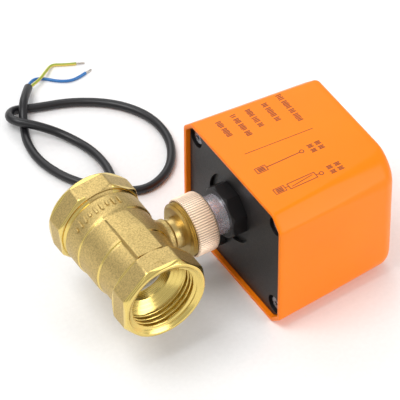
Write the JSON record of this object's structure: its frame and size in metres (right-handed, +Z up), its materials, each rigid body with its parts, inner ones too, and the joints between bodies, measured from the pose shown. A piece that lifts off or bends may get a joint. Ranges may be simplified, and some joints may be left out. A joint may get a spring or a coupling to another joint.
{
  "type": "motorised ball valve",
  "caption": "Brass two-way ball valve with an orange electric actuator plugged on by a knurled coupling nut, and a coiled supply cable.",
  "frame": {"origin": "bottom centre of the box around the valve and its housing, cable left out", "axes": "+X along the stem from the valve to the actuator, +Y along the pipe towards the end cap, +Z up"},
  "size_m": [0.1314, 0.1952, 0.065],
  "materials": {
    "cast_brass": "sand cast and tumbled, machined faces bright",
    "turned_brass": "turned",
    "chromed_ball": "polished chrome plate",
    "seat_plastic": "smooth white",
    "seal_rubber": "matte",
    "copper_plate": "copper coloured plate, knurled",
    "zinc_plate": "bright zinc plate",
    "black_plastic": "moulded, satin",
    "orange_plastic": "moulded, satin gloss",
    "black_steel": "blackened",
    "steel": "plain",
    "gear_brass": "cut",
    "white_plastic": "moulded",
    "board_green": "lacquered",
    "capacitor_yellow": "moulded",
    "terminal_green": "moulded",
    "cable_black": "satin sheath",
    "core_blue": "smooth",
    "core_yellow_green": "yellow with a green stripe",
    "bare_copper": "bare strands"
  },
  "bodies": {
    "housing": {"valve_body": "cast_brass", "end_cap": "cast_brass", "seat_near": "seat_plastic", "seat_far": "seat_plastic", "thrust_washer": "seat_plastic", "bonnet": "turned_brass", "mounting_sleeve": "zinc_plate", "sleeve_lock_nut": "zinc_plate", "base_plate": "black_plastic", "cover": "orange_plastic", "cover_screws": "black_steel", "cable_gland": "seal_rubber", "gear_plate": "steel", "rear_plate": "steel", "standoffs": "steel", "frame_pillars": "steel", "rear_plate_screws": "steel", "motor": "steel", "motor_screws": "steel", "idler_axle": "steel", "switch_lower": "black_plastic", "switch_upper": "black_plastic", "switch_screws": "steel", "circuit_board": "board_green", "board_brackets": "steel", "capacitor": "capacitor_yellow", "terminal_block": "terminal_green", "cable_sheath": "cable_black", "core_blue": "core_blue", "core_earth": "core_yellow_green", "strands_blue": "bare_copper", "strands_earth": "bare_copper"},
    "turning": {"ball": "chromed_ball", "stem": "turned_brass", "stem_o_rings": "seal_rubber", "output_shaft": "steel", "output_gear": "gear_brass", "cam": "white_plastic", "cam_screw": "steel"},
    "idler": {"idler_gear": "gear_brass"},
    "rotor": {"motor_pinion": "gear_brass"},
    "nut_carrier": {"slip_ring": "white_plastic"},
    "nut": {"coupling_nut": "copper_plate"},
    "lower_lever": {"lever_lower": "steel"},
    "upper_lever": {"lever_upper": "steel"}
  },
  "joints": [
    {"name": "valve_turn", "type": "hinge", "parent": "housing", "child": "turning", "pos_m": [-0.04576, 0.0045, 0.0365], "axis": [1, 0, 0], "range_deg": [0, 90]},
    {"name": "idler_turn", "type": "hinge", "parent": "housing", "child": "idler", "pos_m": [0.01824, -0.01639, 0.02468], "axis": [1, 0, 0], "range_deg": [-360, 0]},
    {"name": "motor_turn", "type": "hinge", "parent": "housing", "child": "rotor", "pos_m": [0.02024, -0.0015, 0.0265], "axis": [1, 0, 0], "range_deg": [0, 1440]},
    {"name": "nut_travel", "type": "slide", "parent": "housing", "child": "nut_carrier", "axis": [1, 0, 0], "range_m": [0, 0.003]},
    {"name": "nut_turn", "type": "hinge", "parent": "nut_carrier", "child": "nut", "pos_m": [-0.01176, 0.0045, 0.0365], "axis": [1, 0, 0], "range_deg": [0, 720]},
    {"name": "lower_lever_press", "type": "hinge", "parent": "housing", "child": "lower_lever", "pos_m": [0.02609, 0.01415, 0.0445], "axis": [1, 0, 0], "range_deg": [-2, 6]},
    {"name": "upper_lever_press", "type": "hinge", "parent": "housing", "child": "upper_lever", "pos_m": [0.03209, 0.01415, 0.0445], "axis": [1, 0, 0], "range_deg": [-2, 6]}
  ],
  "couplings": [
    {"joint": "idler_turn", "follows": "valve_turn", "ratio": -4},
    {"joint": "motor_turn", "follows": "valve_turn", "ratio": 16},
    {"joint": "nut_travel", "follows": "nut_turn", "m_per_rad": 0.000238}
  ]
}
